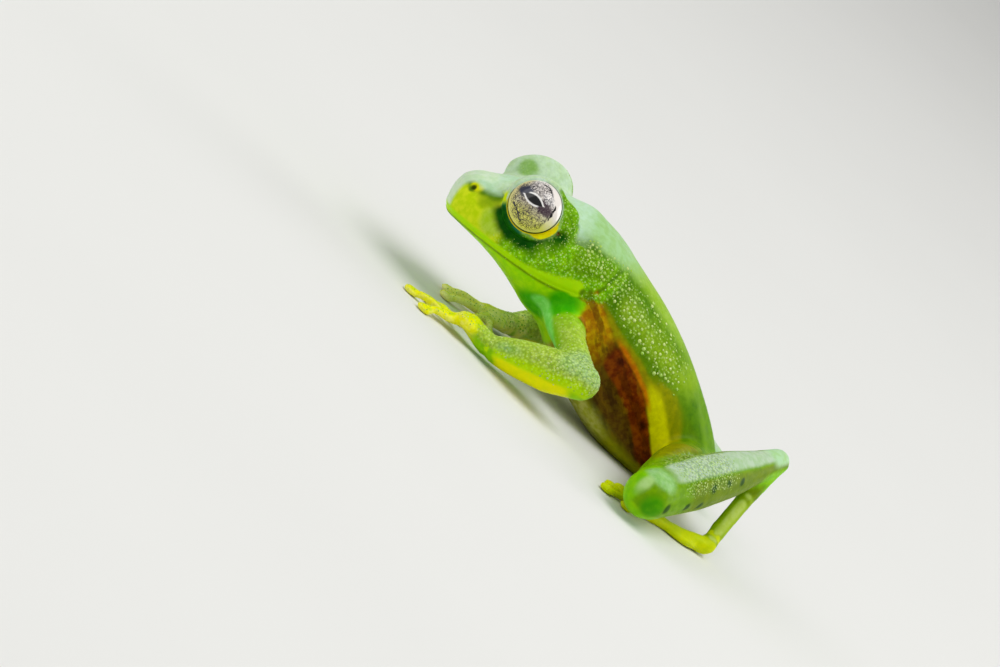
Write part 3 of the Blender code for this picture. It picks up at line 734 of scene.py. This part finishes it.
# The coats of colour in the order in which they are laid on: two mottled colours, how crisp and how wavy
# the border is, and how many rounds soften it
skinBase = ((96, 140, 0), (86, 128, 0))
coats = {
    "belly": ((160, 172, 60), (190, 196, 104), 0.8, 0.1, 3),
    "olive": ((126, 142, 0), (148, 158, 0), 1, 0.3, 3),
    "fringe": ((152, 150, 2), (136, 130, 0), 1.6, 0.5, 3),
    "fringeRear": ((214, 222, 0), (196, 204, 0), 1, 0.4, 3),
    "fringeGlow": ((204, 128, 4), (186, 108, 2), 0.9, 0.3, 3),
    "gut": ((108, 84, 6), (84, 58, 4), 1.2, 0.35, 3),
    "gutEdge": ((140, 74, 4), (100, 44, 2), 1.3, 0.6, 3),
    "gutFront": ((70, 58, 6), (56, 44, 4), 1, 0.4, 3),
    "gutNeck": ((200, 166, 2), (172, 116, 2), 1, 0.5, 3),
    "gutHoles": ((44, 14, 4), (30, 8, 2), 1, 0.3, 3),
    "band": ((88, 138, 0), (74, 122, 0), 1, 0.4, 3),
    "back": ((134, 180, 56), (146, 188, 74), 1, 0.35, 3),
    "backRear": ((100, 150, 8), (90, 140, 0), 0.9, 0.3, 3),
    # the back's own green paled by painted sheen near the head
    "nape": ((160, 206, 144), (150, 198, 124), 0.9, 0.3, 3),
    "granuleGround": ((152, 192, 62), (138, 182, 44), 0.8, 0.4, 3),
    "throat": ((168, 232, 0), (146, 222, 0), 1.4, 0.1, 3),
    "chest": ((70, 178, 0), (84, 190, 6), 1.2, 0.2, 3),
    "cheek": ((112, 186, 0), (140, 208, 14), 1, 0.4, 3),
    "temple": ((104, 160, 0), (114, 172, 6), 1, 0.4, 3),
    "snout": ((204, 230, 66), (182, 220, 46), 1, 0.3, 3),
    "snoutDark": ((132, 172, 4), (116, 160, 0), 1, 0.4, 3),
    "loreal": ((180, 216, 84), (164, 208, 60), 1, 0.5, 3),
    "nostrilGlow": ((206, 222, 12), (190, 214, 20), 0.8, 0.5, 3),
    # painted sheen on the top of the head
    "crownSheen": ((190, 226, 194), (178, 218, 172), 1.1, 0.25, 8),
    # painted rim light on the snout's front and ridge
    "rim": ((210, 234, 200), (194, 226, 182), 1.1, 0.2, 3),
    # painted shade in the nostril's dimple
    "nostril": ((66, 88, 8), (56, 74, 6), 1, 0.1, 3),
    "lip": ((166, 230, 8), (174, 232, 34), 0.9, 0.3, 3),
    # painted sheen on the top of each eye's swelling
    "moundTopSheen": ((196, 224, 190), (182, 214, 168), 1, 0.2, 3),
    "moundDark": ((146, 190, 116), (134, 182, 98), 0.8, 0.1, 3),
    "moundRear": ((118, 180, 6), (96, 158, 0), 1.1, 0.3, 5),
    # painted shade with a teal tint, in the eye's socket
    "tealShade": ((40, 140, 84), (40, 120, 110), 0.9, 0.15, 3),
    "paleLip": ((160, 204, 120), (140, 196, 90), 1.3, 0.1, 3),
    # painted shade in the groove below and ahead of the eye
    "groove": ((16, 74, 0), (28, 90, 4), 1.1, 0.15, 3),
    # painted highlight on the lid's front upper edge
    "lidEdgeHighlight": ((206, 232, 206), (190, 224, 186), 1.4, 0.1, 1),
    "gold": ((236, 234, 0), (232, 216, 0), 2, 0.05, 1),
    "redSpot": ((96, 40, 10), (70, 40, 10), 1.4, 0.1, 0),
    "arm": ((142, 204, 14), (126, 192, 4), 1, 0.2, 10),
    "armTop": ((176, 210, 92), (160, 200, 68), 1, 0.3, 8),
    "armGlow": ((170, 222, 8), (184, 230, 16), 1, 0.2, 3),
    # pale granules of the elbow, and painted sheen on its upper side
    "elbowGrainAndSheen": ((170, 208, 136), (156, 198, 106), 1, 0.4, 3),
    "armYellow": ((230, 236, 0), (212, 232, 0), 1.5, 0.2, 3),
    "bone": ((150, 240, 128), (124, 228, 96), 1.0, 0.3, 3),
    "wristFrost": ((156, 200, 130), (148, 196, 90), 1, 0.3, 8),
    "hand": ((222, 236, 16), (192, 222, 10), 0.8, 0.2, 40),
    "digitEdge": ((230, 240, 60), (238, 244, 110), 1, 0.2, 3),
    # painted backlight on the far hand and arm
    "farArmBacklight": ((252, 252, 168), (246, 246, 132), 0.8, 0.2, 10),
    "leg": ((112, 162, 2), (98, 148, 0), 1, 0.2, 10),
    "thighTop": ((134, 142, 0), (116, 126, 0), 1, 0.3, 24),
    "shankSide": ((108, 138, 0), (96, 128, 0), 1, 0.3, 3),
    "legUnder": ((150, 194, 4), (166, 204, 20), 1.2, 0.2, 3),
    "kneeRim": ((128, 196, 0), (114, 186, 0), 1, 0.2, 3),
    "kneeCore": ((70, 148, 0), (84, 158, 0), 1, 0.3, 3),
    # painted sheen on the shank's top
    "shankTopSheen": ((184, 208, 178), (164, 198, 150), 1.2, 0.3, 3),
    # painted sheen on the knee's top
    "kneeTopSheen": ((150, 200, 130), (134, 190, 104), 1, 0.4, 3),
    # painted highlight on the knee
    "kneeHighlight": ((172, 212, 136), (162, 206, 120), 0.7, 0.2, 3),
    "legSpots": ((40, 76, 0), (50, 86, 2), 1.5, 0.2, 1),
    "tarsus": ((142, 178, 14), (130, 168, 6), 1, 0.2, 12),
    "tarsusStreak": ((166, 194, 84), (176, 202, 104), 1, 0.4, 6),
    "heelSide": ((130, 200, 2), (112, 184, 0), 1, 0.2, 10),
    # painted sheen on the heel's top
    "heelTopSheen": ((176, 218, 170), (164, 210, 146), 1, 0.2, 10),
    "foot": ((178, 206, 16), (192, 214, 44), 1, 0.2, 12),
}

speckled = {
    "cheek": 1, "moundRear": 1, "elbowGrainAndSheen": 1, "shankGrain": 1, "armTop": 0.8,
    "temple": 0.7, "hand": 0.25, "moundTopSheen": 0.15, "kneeTopSheen": 0.15,
}

skinPoints = pointsOf(frogSkin)
skinNodes = np.array([cadNames[cadLabels.find(point)[1]] for point in skinPoints])
masks = skinMasks(skinPoints, normalsOf(frogSkin), skinNodes)
masks["speckle"] = 0.5 * masks["band"] * ramp(7.5, 9.5, -skinPoints[:, 1])
for name, share in speckled.items():
    masks["speckle"] += share * masks[name]
masks["speckle"] = np.clip(masks["speckle"], 0, 1)
for name in ("back", "gold", "tealShade", "lip", "groove"):
    masks["speckle"] *= 1 - masks[name]
spread(frogSkin, masks)
storeMasks(frogSkin, masks)
print("skin masks:", len(masks))


# Materials: a wire is a socket's value, and arithmetic on wires adds Math nodes


def tone(colour, warmth=1.0, vivid=1.0):
    # a screen colour made linear, warmer and more vivid where it is a strong colour
    red, green, blue = colour
    strength = 1 - min(colour) / max(colour)
    if red < green:
        red = min(red * (1 + (warmth - 1) * strength), green)
    parts = [(part / 255) ** 2.2 for part in (red, green, blue)]
    grey = sum(parts) / 3
    vivid = 1 + (vivid - 1) * strength
    return tuple(max(grey + (part - grey) * vivid, 0.0) for part in parts) + (1.0,)


def arithmetic(operation):
    return lambda wire, other: wire.maths(operation, other)


class Wire:
    def __init__(self, look, socket):
        self.look = look
        self.socket = socket

    def maths(self, operation, *values):
        return self.look.node("Math", {"operation": operation}, dict(enumerate((self,) + values)))

    __add__ = arithmetic("ADD")
    __sub__ = arithmetic("SUBTRACT")
    __mul__ = arithmetic("MULTIPLY")
    __truediv__ = arithmetic("DIVIDE")

    def __rsub__(self, other):
        return self.look.node("Math", {"operation": "SUBTRACT"}, {0: other, 1: self})

    def step(self, low, high, start=0.0, end=1.0):
        # runs smoothly from one value to another between two levels
        settings = {"interpolation_type": "SMOOTHSTEP", "clamp": True}
        return self.look.node("MapRange", settings, {0: self, 1: low, 2: high, 3: start, 4: end})


class Look:
    # one material; node() adds a node with its settings and the values or wires of its sockets
    def __init__(self, name):
        self.material = bpy.data.materials.new(name)
        self.material.use_nodes = True
        self.tree = self.material.node_tree
        self.shader = self.tree.nodes["Principled BSDF"]

    def node(self, kind, settings, sockets, output=0):
        made = self.tree.nodes.new("ShaderNode" + kind)
        for name, value in settings.items():
            setattr(made, name, value)
        for name, value in sockets.items():
            self.plug(made.inputs[name], value)
        return Wire(self, made.outputs[output])

    def plug(self, socket, value):
        if isinstance(value, Wire):
            self.tree.links.new(value.socket, socket)
        else:
            socket.default_value = value

    def finish(self, **sockets):
        for name, value in sockets.items():
            self.plug(self.shader.inputs[name.replace("_", " ")], value)

    def place(self):
        # the point's place in millimetres
        spot = self.node("TexCoord", {}, {}, "Object")
        return self.vector("SCALE", spot, Scale=1000.0)

    def vector(self, operation, *values, output=0, **more):
        sockets = dict(enumerate(values))
        sockets.update(more)
        return self.node("VectorMath", {"operation": operation}, sockets, output)

    def attribute(self, name):
        return self.node("Attribute", {"attribute_name": name}, {}, "Fac")

    def noise(self, place, scale, detail=2.0):
        sockets = {"Vector": place, "Scale": scale, "Detail": detail, "Roughness": 0.55}
        return self.node("TexNoise", {}, sockets, "Fac")

    def cells(self, place, scale, feature="F1"):
        return self.node("TexVoronoi", {"feature": feature}, {"Vector": place, "Scale": scale}, "Distance")

    def mix(self, share, first, second):
        pair = [tone(one) if isinstance(one, tuple) and len(one) == 3 else one for one in (first, second)]
        return self.node("Mix", {"data_type": "RGBA"}, {0: share, 6: pair[0], 7: pair[1]}, 2)

    def lay(self, share, colour):
        # one more layer over the colour so far
        self.colour = self.mix(share, self.colour, colour)

    def split(self, place):
        parts = self.node("SeparateXYZ", {}, {0: place}).socket.node
        return [Wire(self, socket) for socket in parts.outputs]

    def bump(self, height, distance, strength):
        return self.node("Bump", {}, {"Height": height, "Distance": distance, "Strength": strength})


skinFinish = {
    "waves": 0.9,  # noise per millimetre that shifts the borders of the coats
    "mottle": 2.2,
    "warmth": 1.07,
    "vivid": 1.12,
    "speckles": 5.5,
    "roughness": (0.3, 0.5),
    "subsurface": 0.45,
    "subsurfaceScale": 0.00055,
    "sheen": 0.06,
    "speckleLight": (222, 244, 158),
    "speckleDark": (58, 104, 10),
    "streakLight": (150, 110, 20),
    "streakDark": (44, 20, 4),
}


def skinLook():
    look = Look("glassSkin")
    place = look.place()
    waves = look.noise(place, skinFinish["waves"], 3.0)
    mottle = look.noise(place, skinFinish["mottle"], 3.0).step(0.35, 0.65)
    strength = (skinFinish["warmth"], skinFinish["vivid"])
    look.colour = look.mix(mottle, *[tone(one, *strength) for one in skinBase])
    for name, coat in coats.items():
        main, other, sharp, wave = coat[:4]
        low = max(0.5 - 0.5 / sharp, 0.03 + 0.25 * wave)
        share = (look.attribute(name) + (waves - 0.5) * wave).step(low, 1 - low)
        look.lay(share, look.mix(mottle, tone(main, *strength), tone(other, *strength)))
    speckle = look.attribute("speckle")
    wide = look.cells(place, skinFinish["speckles"])
    patchy = look.noise(place, 1.6).step(0.3, 0.7)
    look.lay(wide.step(0.45, 0.75) * speckle * 0.4, skinFinish["speckleDark"])
    look.lay(wide.step(0.42, 0.18) * speckle * (patchy * 0.6 + 0.15), skinFinish["speckleLight"])
    # the brown streaks in the side patch run down and forward
    across = look.vector("DOT_PRODUCT", place, (0.0, 0.6, 0.8), output="Value")
    along = look.vector("DOT_PRODUCT", place, (0.0, 0.8, -0.6), output="Value")
    spot = look.node("CombineXYZ", {}, {0: across * 1.8, 1: along * 0.35, 2: waves * 2})
    streaks = look.noise(spot, 1.0, 4.0)
    gut = look.attribute("gut").step(0.3, 0.8)
    look.lay(gut * streaks.step(0.5, 0.62) * 0.5, skinFinish["streakDark"])
    look.lay(gut * streaks.step(0.42, 0.34) * 0.35, skinFinish["streakLight"])
    pebbles = look.cells(place, skinFinish["speckles"], "SMOOTH_F1")
    height = look.noise(place, 14.0, 3.0) * 0.25 + (1 - pebbles) * (speckle * 0.9 + 0.12)
    rough = look.noise(place, 3.0, 3.0).step(0.3, 0.7, *skinFinish["roughness"])
    look.finish(Base_Color=look.colour, Roughness=rough, Normal=look.bump(height, 0.00006, 0.7))
    look.finish(Subsurface_Weight=skinFinish["subsurface"], Subsurface_Scale=skinFinish["subsurfaceScale"])
    look.finish(Subsurface_Radius=(0.9, 1.0, 0.3), IOR=1.38, Coat_Weight=0.03, Coat_Roughness=0.2)
    look.finish(Specular_IOR_Level=skinFinish["sheen"])
    return look.material


frogSkin.data.materials.clear()
frogSkin.data.materials.append(skinLook())
print("skin painted:", len(coats), "coats")


# Granules: small pale domes on the sides of the back, the cheeks, the arms and the shanks

granules = {
    # mask, domes per square millimetre, smallest spacing, smallest and largest radius
    "fields": (
        ("bandFront", 18, 0.22, 0.06, 0.14),
        ("band", 22, 0.24, 0.07, 0.16),
        ("moundRear", 34, 0.15, 0.03, 0.055),
        ("cheek", 38, 0.13, 0.02, 0.045),
        ("armTop", 20, 0.17, 0.04, 0.09),
        ("handTop", 20, 0.16, 0.03, 0.065),
        ("elbowGrainAndSheen", 16, 0.2, 0.045, 0.085),
        ("shankGrain", 42, 0.13, 0.03, 0.06),
    ),
    "crowding": 1.3,  # more domes than that, since many fall to the spacing
    "height": 0.6,  # of the radius
    "sink": 0.2,
    "colours": ((150, 200, 44), (208, 234, 132), (150, 190, 50)),
}


def domeShape():
    # one dome, modelled once: a small sphere cut off below
    clearSelection()
    bpy.ops.mesh.primitive_uv_sphere_add(segments=6, ring_count=4, radius=1)
    dome = bpy.context.object
    plane = {"plane_co": (0, 0, -0.3), "plane_no": (0, 0, 1), "clear_inner": True}
    editMesh(dome, (bpy.ops.mesh.select_all, {"action": "SELECT"}), (bpy.ops.mesh.bisect, plane))
    places = pointsOf(dome)
    faces = [tuple(face.vertices) for face in dome.data.polygons]
    bpy.data.objects.remove(dome)
    return places, faces


def scatter(obj, mask, density, spacing, chance):
    # random places on the surface, weighted by a mask and no nearer together than the spacing
    obj.data.calc_loop_triangles()
    corners = np.array([tuple(tri.vertices) for tri in obj.data.loop_triangles])
    points, normals = pointsOf(obj), normalsOf(obj)
    first, second, third = (points[corners[:, turn]] for turn in range(3))
    areas = 0.5 * np.linalg.norm(np.cross(second - first, third - first), axis=1)
    weight = areas * mask[corners].mean(axis=1)
    number = int(weight.sum() * density)
    chosen = chance.choice(len(corners), number, p=weight / weight.sum())
    shares = chance.random((number, 2))
    shares = np.where(shares.sum(axis=1, keepdims=True) > 1, 1 - shares, shares)
    parts = np.stack([1 - shares.sum(axis=1), shares[:, 0], shares[:, 1]], axis=1)[:, :, None]
    places = (points[corners[chosen]] * parts).sum(axis=1)
    ways = (normals[corners[chosen]] * parts).sum(axis=1)
    kept, cells = [], {}
    steps = list(product((-1, 0, 1), repeat=3))
    for index, place in enumerate(places):
        cell = tuple(np.floor(place / spacing).astype(int))
        around = [(cell[0] + x, cell[1] + y, cell[2] + z) for x, y, z in steps]
        if all(np.linalg.norm(place - other) >= spacing for key in around for other in cells.get(key, ())):
            cells.setdefault(cell, []).append(place)
            kept.append(index)
    return places[kept], ways[kept]


def growGranules(obj):
    chance = np.random.default_rng(7)
    shape, faces = domeShape()
    extra = dict(masks)
    forward, height = -pointsOf(obj)[:, 1], pointsOf(obj)[:, 2]
    clear = (1 - masks["moundRear"]) * (1 - masks["gold"]) * (1 - masks["tealShade"]) * (1 - masks["lip"])
    front = ramp(12, 14, forward)
    dense = 0.3 + hump(overCurve("granuleLine", forward, height), 0, 0.55)
    beside = ramp(0.25, 0.8, masks["band"] * (1 - masks["back"])) * dense
    extra["bandFront"] = beside * front * clear
    extra["band"] = beside * (1 - front) * ramp(7.4, 9.2, forward)
    extra["cheek"] = masks["cheek"] * clear * (1 - masks["groove"])
    extra["moundRear"] = masks["moundRear"] * (1 - masks["gold"]) * (1 - masks["redSpot"])
    extra["handTop"] = masks["hand"] * ramp(0.1, 0.5, normalsOf(obj)[:, 2])
    rows, polygons, tones = [], [], []
    count = 0
    for name, density, spacing, small, large in granules["fields"]:
        density *= granules["crowding"]
        places, ways = scatter(obj, np.clip(extra[name], 0, 1), density, spacing, chance)
        for place, way in zip(places, ways):
            radius = small + (large - small) * chance.random() ** 1.5
            turn = np.array(Vector(way).to_track_quat("Z", "Y").to_matrix())
            dome = shape * (radius, radius, radius * granules["height"]) - (0, 0, radius * granules["sink"])
            rows.append(dome @ turn.T + place)
            polygons.append([tuple(index + count for index in face) for face in faces])
            tones.append(np.full(len(dome), chance.random()))
            count += len(dome)
    mesh = bpy.data.meshes.new("granules")
    mesh.from_pydata(np.concatenate(rows).tolist(), [], sum(polygons, []))
    piece = addObject("granules", mesh)
    storeMasks(piece, {"tone": np.concatenate(tones)})
    mesh.shade_smooth()
    return piece, len(rows)


def granuleLook():
    look = Look("granules")
    place = look.place()
    darker, lighter, patch = granules["colours"]
    look.colour = look.mix(look.attribute("tone").step(0.1, 1.0), darker, lighter)
    look.lay(look.noise(place, 1.0) * 0.35, patch)
    rough = look.noise(place, 9.0).step(0.3, 0.7, 0.16, 0.34)
    bump = look.bump(look.noise(place, 20.0), 0.00001, 0.4)
    look.finish(Base_Color=look.colour, Roughness=rough, Normal=bump)
    look.finish(Subsurface_Weight=0.3, Subsurface_Scale=0.0004, Subsurface_Radius=(0.8, 1.0, 0.4))
    look.finish(Coat_Weight=0.35, Coat_Roughness=0.16)
    return look.material


granulePiece, granuleCount = growGranules(frogSkin)
apply(frogSkin, "DECIMATE", ratio=skin["kept"])
print("skin:", sum(len(face.vertices) - 2 for face in frogSkin.data.polygons), "triangles")
granulePiece.data.materials.append(granuleLook())
print("granules:", granuleCount)


# Eyes

eyeLook = {
    "ringAxis": (0.929, -0.227, 0.293),
    "pupilAxis": (0.864, -0.361, 0.349),
    "ringWay": (0.512, 0.859, 0.0),
    "pupilWay": (0.349, 0.932, 0.101),
    "pupilHalf": (0.68, 0.265),
    "ring": 1.6,
    # start and end round the ring in radians, distance from its middle, lean and bend
    "threads": (
        (-2.46, -1.45, 1.14, 0.0, 0.65),
        (-0.07, 0.78, 1.14, 0.0, 0.1),
        (1.2, 1.99, 1.24, 0.25, 0.0),
    ),
    # middle and reach of each cloud, along and across the pupil, its strength and colour
    "clouds": (
        (0.1, -0.5, 1.0, 0.4, 0.3, (92, 66, 90)),
        (-0.72, 0.16, 0.56, 0.42, 1.0, (40, 44, 64)),
        (0.78, -0.02, 0.62, 0.42, 0.9, (60, 38, 52)),
    ),
}

eyeShape = {"radius": 1.75, "segments": 160, "ring_count": 96}


def makeEye(word, side):
    centre, axis = lidFrame(side)[:2]
    clearSelection()
    bpy.ops.mesh.primitive_uv_sphere_add(**eyeShape)
    eye = bpy.context.object
    eye.name = "eyeball_" + word
    eye.data.transform(Matrix.Translation(centre) @ axis.to_track_quat("Z", "Y").to_matrix().to_4x4())
    eye.data.shade_smooth()
    eye.data.transform(Matrix.Translation(mapOrigin) @ Matrix.Scale(mm, 4))
    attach(eye, "root")
    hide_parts("eye_" + word)
    return eye


eyes = {word: makeEye(word, side) for word, side in sides.items()}


def eyeballLook():
    # one material for both eyes: the place is mirrored to the left one first
    look = Look("eyeball")
    x, y, z = look.split(look.place())
    middle = (eyesMiddle / mm).x
    centre = middleOf("eye_left") / mm
    x = (x - middle).maths("ABSOLUTE") + (middle - centre.x)
    spot = look.node("CombineXYZ", {}, {0: x, 1: y - centre.y, 2: z - centre.z})

    def seenAlong(axis, way):
        # towards the rear, upwards and ahead, seen along an axis of the eye
        ahead = Vector(axis).normalized()
        along = Vector(way).normalized()
        level = (along - ahead * along.dot(ahead)).normalized()
        rise = ahead.cross(level)
        ways = (level, rise if rise.z > 0 else -rise, ahead)
        return [look.vector("DOT_PRODUCT", spot, tuple(way), output="Value") for way in ways]

    a, b = seenAlong(eyeLook["pupilAxis"], eyeLook["pupilWay"])[:2]
    ringA, ringB, ahead = seenAlong(eyeLook["ringAxis"], eyeLook["ringWay"])
    out = (ringA * ringA + ringB * ringB).maths("SQRT")
    twist = look.node("TexNoise", {}, {"Vector": spot, "Scale": 3.2, "Detail": 2.0}, "Color")
    shift = look.vector("SCALE", look.vector("SUBTRACT", twist, (0.5, 0.5, 0.5)), Scale=0.34)
    twisted = look.vector("ADD", spot, shift)
    # the ground of the iris: cream above, lemon below
    level = b + (look.noise(spot, 2.0) - 0.5) * 0.7
    look.colour = look.mix(level.step(-1.1, 0.25), (232, 228, 104), (244, 236, 228))
    look.lay(ringA.step(-0.9, -1.4) * 0.6, (224, 206, 30))
    # the fine dark net, dense in the middle
    threads = look.cells(twisted, 5.2, "DISTANCE_TO_EDGE").step(0.12, 0.04)
    small = look.cells(twisted, 9.0, "DISTANCE_TO_EDGE").step(0.14, 0.05)
    patches = look.noise(spot, 2.6, 3.0).step(0.36, 0.56)
    rearward = (ringA + ringB * 0.6).step(0.5, 1.2)
    dense = (out + rearward * 0.35).step(1.58, 1.35)
    look.lay(threads * dense * (patches * 0.5 + 0.4), (26, 20, 26))
    look.lay(small * dense * (patches * 0.5 + 0.1), (40, 26, 40))
    grit = look.noise(spot, 14.0).step(0.52, 0.62)
    look.lay(grit * dense * level.step(-1.2, 0.4, 0.35, 0.7), (40, 28, 36))
    # the clouds below the pupil and at both its ends
    for centreA, centreB, wideA, wideB, strength, cloud in eyeLook["clouds"]:
        apartA = (a - centreA) / wideA
        apartB = (b - centreB) / wideB
        reach = (apartA * apartA + apartB * apartB).maths("SQRT")
        share = (reach + (look.noise(spot, 4.5, 3.0) - 0.5) * 0.8).step(1.15, 0.6)
        look.lay(share * strength, cloud)
    # three bold wavering threads near the rim
    turn = ringB.maths("ARCTAN2", ringA)
    for start, end, reach, lean, bend in eyeLook["threads"]:
        waver = (look.noise(spot, 3.4, 1.0) - 0.5) * 0.3
        part = turn - (start + end) / 2
        line = (out - part * lean - part * part * bend - reach + waver).maths("ABSOLUTE")
        stretch = turn.step(start - 0.06, start + 0.06) * turn.step(end + 0.06, end - 0.06)
        look.lay(line.step(0.06, 0.035) * stretch, (14, 10, 14))
    # the pupil, a lens with a pale line along each side
    halfLong, halfShort = eyeLook["pupilHalf"]
    bow = (1 - (a / halfLong) * (a / halfLong)).maths("MAXIMUM", 0.0) * halfShort
    edge = b.maths("ABSOLUTE") - bow
    inLength = (a - b.step(-0.05, 0.05, -0.14, 0.14)).maths("ABSOLUTE").step(halfLong, halfLong - 0.14)
    look.lay(edge.step(0.01, -0.03), (6, 5, 8))
    look.lay(edge.step(0.12, 0.08) * edge.step(-0.03, 0.01) * inLength, (244, 242, 238))
    # the dark ring, and the pale margin outside it
    ring = eyeLook["ring"]
    margin = out.step(ring, ring + 0.03) + ahead.step(0.1, 0.0)
    rim = look.mix(b.step(-0.6, 0.4), (232, 208, 0), (206, 226, 212))
    look.lay(margin.maths("MINIMUM", 1.0), rim)
    look.lay((out - ring).maths("ABSOLUTE").step(0.04, 0.018) * ahead.step(0.0, 0.1), (14, 14, 10))
    look.finish(Base_Color=look.colour, Roughness=look.noise(spot, 5.0).step(0.3, 0.7, 0.06, 0.14))
    look.finish(IOR=1.38, Coat_Weight=0.8, Coat_Roughness=0.03, Specular_IOR_Level=0.4)
    return look.material


eyeFinish = eyeballLook()
for eye in eyes.values():
    eye.data.materials.append(eyeFinish)

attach(frogSkin, "root")
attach(granulePiece, "root")
for piece in (frogSkin, granulePiece):
    piece.data.transform(Matrix.Translation(mapOrigin) @ Matrix.Scale(mm, 4))
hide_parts(*[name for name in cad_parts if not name.startswith("eye")])
print("skin and granules placed")


# Camera, floor and light

photoView = {
    "right": (0.0, 0.742, 0.6705),
    "back": (0.974, -0.1528, 0.1693),
    "frameWidth": 58.82,
    "distance": 350,
    "aimRight": -11.765,
    "aimUp": 12.735,
    "aimBack": 8.0,
    "aimHeight": -1.0,
}


def makeCamera():
    right = Vector(photoView["right"]).normalized()
    back = Vector(photoView["back"]).normalized()
    up = back.cross(right)
    aim = Vector((0, 0, photoView["aimHeight"]))
    aim += right * photoView["aimRight"] + up * photoView["aimUp"] + back * photoView["aimBack"]
    place = mapOrigin + (aim + back * photoView["distance"]) * mm
    data = bpy.data.cameras.new("photoCamera")
    camera = addObject("photoCamera", data)
    turn = Matrix((right, up, back)).transposed().to_4x4()
    camera.matrix_world = Matrix.Translation(place) @ turn
    data.sensor_width = 36
    data.lens = data.sensor_width * photoView["distance"] / photoView["frameWidth"]
    data.clip_start = 0.01
    data.clip_end = 20
    bpy.context.scene.camera = camera


makeCamera()
clearSelection()
bpy.ops.mesh.primitive_plane_add(size=8, location=(0, 0, 0))
floor = bpy.context.object
floor.name = "floor"


studio = {
    # name: place in metres, side of the square lamp, watts
    "overhead": ((0.1, 0.12, 0.5), 0.4, 1.6),
    "front": ((0.1, -0.45, 0.28), 0.4, 0.5),
    "rear": ((-0.2, 0.4, 0.2), 0.25, 0.45),
    "worldStrength": 0.44,
    "floor": (232, 232, 228),
    "floorShade": (228, 228, 224),
}


def makeStudio():
    scene = bpy.context.scene
    scene.view_settings.view_transform = "Standard"
    for name in ("overhead", "front", "rear"):
        place, size, power = studio[name]
        data = bpy.data.lights.new(name, "AREA")
        data.energy = power
        data.size = size
        lamp = addObject(name, data)
        lamp.location = place
        lamp.rotation_euler = Vector(place).to_track_quat("Z", "Y").to_euler()
    world = bpy.data.worlds.new("studio")
    scene.world = world
    world.use_nodes = True
    backdrop = world.node_tree.nodes["Background"]
    backdrop.inputs["Color"].default_value = (1.0, 1.0, 1.0, 1.0)
    backdrop.inputs["Strength"].default_value = studio["worldStrength"]
    look = Look("paper")
    shade = look.mix(look.noise(look.place(), 0.02, 3.0), studio["floor"], studio["floorShade"])
    look.finish(Base_Color=shade, Roughness=0.9, Specular_IOR_Level=0.1)
    floor.data.materials.append(look.material)


makeStudio()
